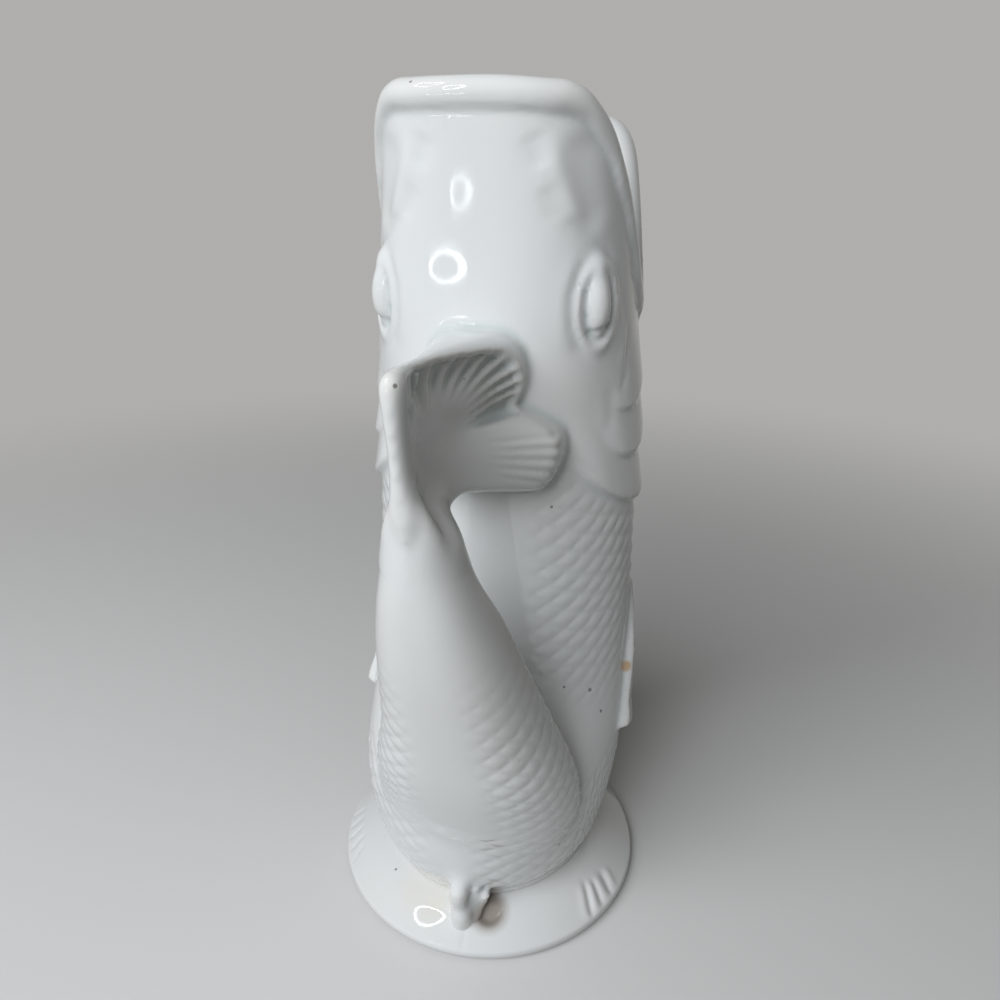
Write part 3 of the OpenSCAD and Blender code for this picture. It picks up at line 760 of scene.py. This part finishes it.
class Flow:
    """What runs through a node tree, so that a tree is written as arithmetic."""

    def __init__(self, tree, socket):
        self.tree, self.socket = tree, socket

    def node(self, operation, *others):
        return added(self.tree, "ShaderNodeMath", dict(enumerate((self,) + others)), operation=operation)

    def __add__(self, other):
        return self.node("ADD", other)

    def __sub__(self, other):
        return self.node("SUBTRACT", other)

    def __mul__(self, other):
        return self.node("MULTIPLY", other)

    def __truediv__(self, other):
        return self.node("DIVIDE", other)

    def cos(self):
        return self.node("COSINE")

    def sin(self):
        return self.node("SINE")

    def size(self):
        return self.node("ABSOLUTE")

    def power(self, exponent):
        return self.node("POWER", exponent)


def feed(node, inputs):
    """Gives a node's inputs their values, or links them to what flows in."""
    for key, value in inputs.items():
        if isinstance(value, Flow):
            value.tree.links.new(value.socket, node.inputs[key])
        else:
            node.inputs[key].default_value = value


def added(tree, kind, inputs, output=0, **settings):
    """Adds a node to a tree and returns what flows out of it."""
    node = tree.nodes.new(kind)
    for name, value in settings.items():
        setattr(node, name, value)
    feed(node, inputs)
    return Flow(tree, node.outputs[output])


def stored(tree, name):
    return added(tree, "GeometryNodeInputNamedAttribute", {"Name": name}, "Attribute", data_type="FLOAT")


def noise(tree, scale, detail, place):
    return added(tree, "ShaderNodeTexNoise", {"Scale": scale, "Detail": detail, "Vector": place}, "Fac")


def unevenness(tree, scale, detail=1.0):
    """Noise about 0, so that what repeats looks made by hand."""
    return noise(tree, scale, detail, added(tree, "GeometryNodeInputPosition", {})) - 0.5


# Sizes of the relief in millimetres, as inputs of its node tree.
RELIEF_SIZES = {
    "Scale width": 9.0, "Scale row": 3.1, "Scale height": 0.42, "Flute depth": 1.5, "Flute sink": 1.1,
    "Rib depth": 0.55, "Wrinkle pitch": 2.3, "Wrinkle depth": 0.3,
}


def relief_tree(material):
    """Raises scales and sinks flutes, ribs and wrinkles into the clay, along its stored places."""
    tree = bpy.data.node_groups.new("clay_relief", "GeometryNodeTree")
    face = tree.interface
    face.new_socket("Geometry", in_out="INPUT", socket_type="NodeSocketGeometry")
    for name, value in RELIEF_SIZES.items():
        face.new_socket(name, in_out="INPUT", socket_type="NodeSocketFloat").default_value = value
    face.new_socket("Geometry", in_out="OUTPUT", socket_type="NodeSocketGeometry")
    start, end = tree.nodes.new("NodeGroupInput"), tree.nodes.new("NodeGroupOutput")
    size = {name: Flow(tree, start.outputs[name]) for name in RELIEF_SIZES}
    pi = math.pi

    across = (stored(tree, "round_mm") + unevenness(tree, 90) * 2.2) / size["Scale width"]
    rows = (stored(tree, "rise_mm") + unevenness(tree, 130) * 1.2) / (size["Scale row"] * 2)
    one, other = ((across + rows) * pi).cos().size(), ((across - rows) * pi).cos().size()
    pillow = (one * other).power(0.55) - 0.45
    scale = pillow * size["Scale height"] * stored(tree, "scaly") * (unevenness(tree, 60) * 0.9 + 1.0)

    scoop = (stored(tree, "flute_number") * pi).sin().size().power(4.0)
    flute = ((scoop * -1.0 + 1.0) * size["Flute depth"] + size["Flute sink"]) * stored(tree, "fluted")

    groove = (stored(tree, "rib_number") * pi).cos().size().power(3.0)
    rib = groove * size["Rib depth"] * stored(tree, "ribbed")

    run = (stored(tree, "round_mm") + unevenness(tree, 75, 2.0) * 5.0) / size["Wrinkle pitch"]
    wrinkle = (run * pi).cos().size().power(4.0) * size["Wrinkle depth"] * stored(tree, "wrinkled")
    wrinkle = wrinkle * (unevenness(tree, 110) * 2.0 + 1.0)

    height = (scale - flute - rib - wrinkle) * MM
    out = added(tree, "GeometryNodeInputNormal", {})
    offset = added(tree, "ShaderNodeVectorMath", {0: out, "Scale": height}, operation="SCALE")
    clay = Flow(tree, start.outputs["Geometry"])
    moved = added(tree, "GeometryNodeSetPosition", {"Geometry": clay, "Offset": offset})
    real = added(tree, "GeometryNodeRealizeInstances", {0: moved})
    feed(end, {0: added(tree, "GeometryNodeSetMaterial", {"Material": material, "Geometry": real})})
    return tree


def shape_by(piece, tree):
    """Runs a piece through a node tree and keeps the result as a plain mesh."""
    piece.modifiers.new(tree.name, "NODES").node_group = tree
    plain_mesh(piece)


def triangle_count(mesh):
    return sum(len(f.vertices) - 2 for f in mesh.polygons)


def thin_out(piece, most, hidden):
    """Fewer triangles: the inside of the jug is thinned first, and the skin keeps the finer mesh's smooth light."""
    fine = placed("fine", piece.data.copy())
    inside = np.nonzero(hidden)[0]
    piece.vertex_groups.new(name="inside").add(inside.tolist(), 1.0, "REPLACE")
    triangles = triangle_count(piece.data)
    if triangles > most:
        m = piece.modifiers.new("inside", "DECIMATE")
        m.vertex_group, m.vertex_group_factor = "inside", 1000
        # Each point stands for about two triangles.
        m.ratio = max((triangles - len(inside) * 2 * INSIDE_THINNED) / triangles, 0.05)
        plain_mesh(piece)
        triangles = triangle_count(piece.data)
    if triangles > most:
        m = piece.modifiers.new("all", "DECIMATE")
        m.ratio = most / triangles
        plain_mesh(piece)
    m = piece.modifiers.new("light", "DATA_TRANSFER")
    m.object = fine
    m.use_loop_data, m.data_types_loops, m.loop_mapping = True, {"CUSTOM_NORMAL"}, "POLYINTERP_NEAREST"
    plain_mesh(piece)
    drop(fine)


# Cells of the fused clay's mesh, most triangles of the fish, and share of the inside's that go.
FINE_VOXEL, QUICK_VOXEL = 0.75, 1.1
MOST_TRIANGLES = 196000
INSIDE_THINNED = 0.94
# The inside lies at least this deep under the skin, and this far below the lips.
INSIDE_DEPTH, INSIDE_BELOW_LIPS = 2.6, 14


def fish(material):
    """The fish, fused as the clay is, with its relief."""
    shell = loft("shell", body_rings())
    tail = loft("tail", [tail_ring(z) for z in np.linspace(TAIL_START_Z, TAIL_END_Z, 110)])
    cavity = loft("cavity", [tail_ring(z, WALL, 48) for z in np.linspace(TAIL_START_Z, TAIL_END_Z - WALL, 40)])
    core = body_core(-WALL / 2)
    fin = loft("fin", fin_rings())
    hole = finger_hole()
    cut(tail, core, cavity)
    cut(fin, core, hole)
    cut(shell, cavity)
    drop(cavity, core, hole)
    piece = joined("glazed_fish", [shell, tail, fin] + under_fin_solids())
    voxel = FINE_VOXEL
    m = piece.modifiers.new("fuse", "REMESH")
    m.mode, m.voxel_size, m.adaptivity = "VOXEL", voxel * MM, 0
    plain_mesh(piece)
    edges = neighbours(piece.data)
    set_points(piece.data, soften(relax(mesh_points(piece.data), edges, 6, KEEP_SIZE), edges, voxel))
    piece.data.shade_smooth()
    names = write_relief_places(piece.data)
    shape_by(piece, relief_tree(material))
    write_glaze_depth(piece.data, voxel)
    p = mesh_points(piece.data)
    angle, out = body_place(p)
    inside = (out < -INSIDE_DEPTH) & (p[:, 2] < mouth_edge(angle) - INSIDE_BELOW_LIPS)
    thin_out(piece, MOST_TRIANGLES, inside)
    for name in names:
        if name in piece.data.attributes:
            piece.data.attributes.remove(piece.data.attributes[name])
    return piece


def write_glaze_depth(mesh, voxel):
    """Stores where the melted glaze pools, in hollows, whose tint also serves as painted shade there, and where it runs
    thin, over edges.
    """
    p, edges = mesh_points(mesh), neighbours(mesh)
    normals = np.empty(len(mesh.vertices) * 3)
    mesh.vertices.foreach_get("normal", normals)
    smooth = relax(p, edges, rounds_for(10, voxel), SETTLE)
    depth = ((smooth - p) * normals.reshape(-1, 3)).sum(1)
    # the pooling mask also carries painted shade in hollows and creases
    attribute(mesh, "pooled_glaze_and_shade", ramp(depth, 0.03, 0.55))
    attribute(mesh, "thin", ramp(depth, -0.08, -0.75))


# ---- foot ----

FOOT_RIPPLES = [
    # first and last angle and radius of a ridge, or of a groove where the height is negative, and its height and width
    ((241.2, 41.0), (234.0, 49.0), 0.35, 1.5), ((243.8, 41.0), (236.4, 49.4), -0.5, 0.9),
    ((245.4, 42.2), (239.6, 49.3), 0.5, 1.3), ((247.2, 42.6), (243.0, 49.0), -0.45, 0.9),
    ((249.6, 42.2), (246.2, 49.0), 0.4, 1.5), ((253.3, 43.0), (249.2, 48.9), -0.5, 1.0),
    ((256.5, 43.6), (252.8, 48.7), 0.4, 1.3),
    ((121.0, 44.5), (126.5, 49.0), -0.35, 0.6), ((116.0, 44.0), (120.5, 49.0), -0.45, 0.6),
    ((110.5, 44.5), (114.5, 49.0), -0.5, 0.6), ((105.0, 44.8), (108.5, 49.0), -0.4, 0.6),
    ((99.5, 45.0), (102.5, 49.0), -0.3, 0.6),
]
# Radius of the foot's rounded edge, columns round it, and angle of the mould's parting line.
FOOT_EDGE = 2.5
FOOT_COLUMNS = 540
PARTING_ANGLE = 186.5


def round_place(angle, radius):
    return radius * np.array([math.cos(math.radians(angle)), math.sin(math.radians(angle))])


def foot_relief(x, y):
    """Ripples like water at both sides of the foot, the hollow beside the under fin, and the mould's parting line."""
    height = np.zeros_like(x)
    for first, last, rise, width in FOOT_RIPPLES:
        t, away = beside(x, y, round_place(*first), round_place(*last), ends=False)
        height += rise * np.exp(-((away / width) ** 2)) * within(t, -0.1, 0.35, 0.8, 1.1)
    height -= 1.5 * ramp(np.hypot((x + 37.6) / 4.8, (y + 10.8) / 4.8), 1.15, 0.4)
    seam = np.exp(-((np.degrees(np.arctan2(y, x)) % 360 - PARTING_ANGLE) ** 2) / 0.6) * (x < 0)
    return height - 0.14 * seam * ramp(np.hypot(x, y), 36, 40)


def foot():
    """Turned from its outline, from the middle of the hollow under it, round the edge, to the seat of the fish."""
    seat_radius = BODY_WIDTH / 2 * BODY_STATIONS[0][3] + WALL / 2
    underside = [
        (0, 2.5), (12, 2.5), (24, 2.5), (36, 2.5), (37.6, 2.3), (38.8, 1.4), (39.8, 0.4), (40.8, 0.05), (42, 0),
    ]
    outline = underside[:]
    for t in np.radians(np.linspace(-90, 30, 14)):
        outline.append((FOOT_RADIUS - FOOT_EDGE + FOOT_EDGE * math.cos(t), FOOT_EDGE + FOOT_EDGE * math.sin(t)))
    start, low = outline[-1]
    for u in np.linspace(0, 1, 34)[1:]:
        outline.append((start + (seat_radius - start) * u, low + (SEAT_HEIGHT - low) * math.sin(math.radians(90 * u))))
    outline += [(r, SEAT_HEIGHT) for r in (30, 20, 10)]
    a = circle(FOOT_COLUMNS)
    rings = []
    for k, (r, z) in enumerate(outline):
        x, y = max(r, 0.01) * np.cos(a), max(r, 0.01) * np.sin(a)
        top = within(z, 2.4, 3.6, 8.6, 9.9) * (k >= len(underside))
        rings.append(np.stack([x, y, z + foot_relief(x, y) * top], -1))
    rings.append(rings[-1] * [0.01, 0.01, 1])
    piece = loft("glazed_foot", rings)
    piece.data.shade_smooth()
    return piece


# ---- glaze ----

PINHOLES = [
    # places of the pinholes in the glaze, with their radii
    (-73.7, -1.1, 178.8, 0.45), (-37.0, -23.2, 32.7, 0.75), (-34.4, -28.5, 35.1, 0.70), (-29.0, -30.0, 31.7, 0.60),
    (-14.7, -20.2, 134.5, 0.40), (-12.5, -26.0, 76.2, 0.40), (-32.0, 22.5, 9.2, 0.40), (-7.0, -33.2, 72.9, 0.60),
    (-5.8, -36.9, 65.0, 0.50), (-20.8, 15.3, 236.1, 0.35), (-54.9, -4.8, 153.4, 0.35),
]
# The spot without glaze, a beige place on the foot, and painted shade in the hollow beside the under fin.
BARE_SPOT = (9.5, -42.3, 72.6, 1.8)
BEIGE_SPOT = (-37.5, 11, 9, 10)
PAINTED_SHADE_SPOT = (-37.8, -10.3, 8, 5.8)


def mapped(tree, flow, low, high):
    """0 where the number is at or below low, 1 at or above high, smooth between."""
    ends = {"From Min": low, "From Max": high, "Value": flow}
    return added(tree, "ShaderNodeMapRange", ends, "Result", interpolation_type="SMOOTHSTEP")


def own_place(tree):
    return added(tree, "ShaderNodeTexCoord", {}, "Object")


def cloud(tree, scale, detail=2.0):
    """Noise that stays with the object."""
    return noise(tree, scale, detail, own_place(tree))


def near_spot(tree, x, y, z, radius):
    """1 within a radius of a place, in millimetres, falling to 0 just outside it."""
    ends = {0: own_place(tree), 1: (x * MM, y * MM, z * MM)}
    away = added(tree, "ShaderNodeVectorMath", ends, "Value", operation="DISTANCE")
    return mapped(tree, away, radius * 1.35 * MM, radius * 0.6 * MM)


def tinted(tree, color, amount, tint):
    """Mixes a tint into a colour where the amount is 1."""
    return added(tree, "ShaderNodeMix", {"Factor": amount, "A": color, "B": tint}, "Result", data_type="RGBA")


def shader_stored(tree, name):
    return added(tree, "ShaderNodeAttribute", {}, "Fac", attribute_name=name)


def glaze_flaws():
    """Pinholes, scattered specks and the spot that the glaze left bare."""
    group = bpy.data.node_groups.new("glaze_flaws", "ShaderNodeTree")
    holes = near_spot(group, *PINHOLES[0])
    for hole in PINHOLES[1:]:
        holes = holes.node("MAXIMUM", near_spot(group, *hole))
    away = added(group, "ShaderNodeTexVoronoi", {"Scale": 75, "Vector": own_place(group)}, "Distance")
    chance = added(group, "ShaderNodeSeparateColor", {0: Flow(group, away.socket.node.outputs["Color"])})
    specks = mapped(group, away, 0.030, 0.016) * mapped(group, chance, 0.80, 0.84)
    flaws = {"Pinholes": holes, "Bare clay": near_spot(group, *BARE_SPOT), "Specks": specks}
    for name in flaws:
        group.interface.new_socket(name, in_out="OUTPUT", socket_type="NodeSocketFloat")
    feed(group.nodes.new("NodeGroupOutput"), flaws)
    return group


def material_of(name):
    """New material, with its node tree and shader."""
    mat = bpy.data.materials.new(name)
    mat.use_nodes = True
    return mat, mat.node_tree, mat.node_tree.nodes["Principled BSDF"]


def glaze_material():
    """White glaze: blue-green where it pools, darkened there as painted shade in the hollows, creamy where it runs
    thin, with a few flaws and painted shade in the hollow beside the under fin.
    """
    mat, tree, shader = material_of("white_glaze")
    flaws = tree.nodes.new("ShaderNodeGroup")
    flaws.node_tree = glaze_flaws()
    pinholes, bare, specks = (Flow(tree, flaws.outputs[k]) for k in ("Pinholes", "Bare clay", "Specks"))
    beige = near_spot(tree, *BEIGE_SPOT) * mapped(tree, cloud(tree, 60, 3.0), 0.3, 0.75)
    color = (0.79, 0.80, 0.80, 1)
    for amount, tint in (
        (mapped(tree, cloud(tree, 14, 3.0), 0.35, 0.7) * 0.5, (0.80, 0.785, 0.755, 1)),
        # blue-green of pooled glaze, made dark enough to serve as painted shade in hollows and creases
        (shader_stored(tree, "pooled_glaze_and_shade") * 0.85, (0.56, 0.625, 0.615, 1)),
        (shader_stored(tree, "thin") * 0.5, (0.83, 0.79, 0.72, 1)),
        (beige * 0.6, (0.82, 0.76, 0.66, 1)),
        # painted shade: a dark brown tint in the hollow beside the under fin, where shadow falls
        (near_spot(tree, *PAINTED_SHADE_SPOT) * 0.9, (0.30, 0.25, 0.21, 1)),
        (specks * 0.55, (0.28, 0.25, 0.22, 1)),
        (bare, (0.62, 0.44, 0.28, 1)),
        (pinholes * 0.75, (0.10, 0.085, 0.07, 1)),
    ):
        color = tinted(tree, color, amount, tint)
    rough = mapped(tree, cloud(tree, 35), 0.3, 0.8) * 0.05 + 0.04 + bare * 0.5 + pinholes * 0.3
    height = cloud(tree, 48, 1.0) * 0.10 + cloud(tree, 420) * 0.006 - pinholes * 0.25 - specks * 0.05
    bump = added(tree, "ShaderNodeBump", {"Strength": 0.6, "Distance": MM, "Height": height}, "Normal")
    feed(shader, {
        "Base Color": color, "Roughness": rough, "IOR": 1.55, "Coat Weight": 0.5, "Coat Roughness": 0.03,
        "Normal": bump,
    })
    return mat


# ---- studio, in metres ----

PALE = (0.43, 0.425, 0.42, 1)
SEEN = ("Is Camera Ray", "Is Glossy Ray", "Is Transmission Ray")
FLOOR_RINGS = (0.3, 1.0, 3.0, 12.0)
# Where the floor starts to fade into the background, and where it ends.
FLOOR_FADE = (0.16, 0.75)
# Power of the key light, and strength of the light from all round.
KEY, FILL = 9.8, 0.11
RING_LAMPS = [
    # name, place, target, half width and half height, share of them that the ring is wide, strength
    ("upper_ring", (-0.438, 0.166, 0.1785), (-0.020, 0.0035, 0.2133), (0.0265, 0.0054), 0.18, 8),
    ("lower_ring", (-0.409, 0.228, 0.1475), (-0.0192, 0.0069, 0.1948), (0.078, 0.0090), 0.14, 8),
    ("front_ring", (-0.396, 0.1725, 0.423), (-0.023, 0.004, 0.2341), (0.026, 0.085), 0.12, 9),
    ("high_ring", (-0.1755, 0.194, 0.452), (-0.0437, 0.0068, 0.007), (0.055, 0.070), 0.09, 9),
]
CAMERA_PLACE = (-0.2007, -0.0555, 0.2099)


def light_path(tree, *kinds):
    """1 for the kinds of ray named, and 0 for all others."""
    rays = tree.nodes.new("ShaderNodeLightPath").outputs
    total = Flow(tree, rays[kinds[0]])
    for kind in kinds[1:]:
        total = total + Flow(tree, rays[kind])
    return total


def mixed(tree, share, first, second, output):
    """Puts out the first shader where the share is 0, and the second where it is 1."""
    feed(tree.nodes[output], {"Surface": added(tree, "ShaderNodeMixShader", {"Fac": share, 1: first, 2: second})})


def ring_faces(inner, outer, n):
    """Faces between two rings of n points, by the numbers of their first points."""
    i = np.arange(n)
    after = (i + 1) % n
    return np.stack([inner + i, outer + i, outer + after, inner + after], 1).tolist()


def facing(place, target, axis):
    """Matrix that stands a thing at a place, with one of its axes towards the target."""
    look = (Vector(target) - Vector(place)).normalized()
    return Matrix.Translation(place) @ look.to_track_quat(axis, "Y").to_matrix().to_4x4()


def pale_floor():
    """Plain floor that keeps the jug's shadow and runs out into the pale background."""
    a = circle(96)
    n = len(a)
    verts = [(0.0, 0.0, 0.0)]
    for r in FLOOR_RINGS:
        verts += np.stack([r * np.cos(a), r * np.sin(a), 0 * a], -1).tolist()
    faces = [(0, 1 + i, 1 + (i + 1) % n) for i in range(n)]
    for j in range(len(FLOOR_RINGS) - 1):
        faces += ring_faces(1 + j * n, 1 + (j + 1) * n, n)
    floor = surface("floor", verts, faces)
    mat, tree, shader = material_of("pale_floor")
    seen = light_path(tree, *SEEN)
    color = tinted(tree, (0.26, 0.26, 0.25, 1), seen, (0.80, 0.79, 0.78, 1))
    feed(shader, {"Base Color": color, "Roughness": 0.95, "Specular IOR Level": 0.1})
    away = added(tree, "ShaderNodeVectorMath", {0: own_place(tree)}, "Value", operation="LENGTH")
    glow = added(tree, "ShaderNodeEmission", {"Color": PALE, "Strength": 1.0})
    mixed(tree, mapped(tree, away, *FLOOR_FADE) * seen, Flow(tree, shader.outputs[0]), glow, "Material Output")
    floor.data.materials.append(mat)


def ring_lamp(name, place, target, size, width, strength):
    """A ring of light that shows only where the glaze mirrors it."""
    a = circle(64)
    verts = [(size[0] * k * math.cos(t), size[1] * k * math.sin(t), 0) for k in (1 - width, 1 + width) for t in a]
    ring = surface(name, verts, ring_faces(0, len(a), len(a)))
    ring.data.transform(facing(place, target, "Z"))
    mat, tree, shader = material_of(name)
    tree.nodes.remove(shader)
    glow = added(tree, "ShaderNodeEmission", {"Color": (0.92, 0.97, 1, 1), "Strength": strength})
    clear = added(tree, "ShaderNodeBsdfTransparent", {})
    mixed(tree, light_path(tree, "Is Glossy Ray"), clear, glow, "Material Output")
    ring.data.materials.append(mat)


def key_light():
    """A soft light high behind the jug, on the fish's left, that the glaze doesn't mirror."""
    data = bpy.data.lights.new("key", "AREA")
    data.energy, data.shape, data.color = KEY, "RECTANGLE", (0.93, 0.965, 1.0)
    data.size, data.size_y = 0.9, 0.5
    key = placed("key", data)
    key.matrix_world = facing((-0.7336, 0.3114, 0.637), (0, 0, 0.12), "-Z")
    key.visible_glossy = False


def studio():
    pale_floor()
    world = bpy.data.worlds.new("studio")
    bpy.context.scene.world = world
    world.use_nodes = True
    tree = world.node_tree
    fill = tree.nodes["Background"]
    feed(fill, {"Color": (0.92, 0.93, 0.87, 1), "Strength": FILL})
    seen = added(tree, "ShaderNodeBackground", {"Color": PALE, "Strength": 1.0})
    mixed(tree, light_path(tree, *SEEN), Flow(tree, fill.outputs[0]), seen, "World Output")
    key_light()
    for lamp in RING_LAMPS:
        ring_lamp(*lamp)


def camera():
    """At the height of the jug's shoulders, close behind it and to its right."""
    heading, pitch, roll = math.radians(15), math.radians(21.3), math.radians(1.0)
    flat = Vector((math.cos(heading), math.sin(heading), 0))
    forward = flat * math.cos(pitch) - Vector((0, 0, math.sin(pitch)))
    level = forward.cross(Vector((0, 0, 1))).normalized()
    right = level * math.cos(roll) + level.cross(forward) * math.sin(roll)
    data = bpy.data.cameras.new("camera")
    data.lens, data.sensor_width, data.sensor_fit = 27, 36, "AUTO"
    data.clip_start = 0.01
    thing = placed("camera", data)
    turn = Matrix((right, right.cross(forward), -forward)).transposed().to_4x4()
    thing.matrix_world = Matrix.Translation(CAMERA_PLACE) @ turn
    bpy.context.scene.camera = thing


camera()
studio()
bpy.context.scene.view_settings.view_transform = "Standard"
white_glaze = glaze_material()

glazed_fish = fish(white_glaze)
glazed_foot = foot()
glazed_foot.data.materials.append(white_glaze)

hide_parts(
    "body_shell", "tail_handle", "tail_fin", "under_fin", "side_fin_left", "side_fin_right",
    "gill_plates_left", "gill_plates_right", "eye_left", "eye_right",
)
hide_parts("foot")
for piece in (glazed_fish, glazed_foot):
    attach(piece, "root")
    print(piece.name, "triangles:", triangle_count(piece.data))
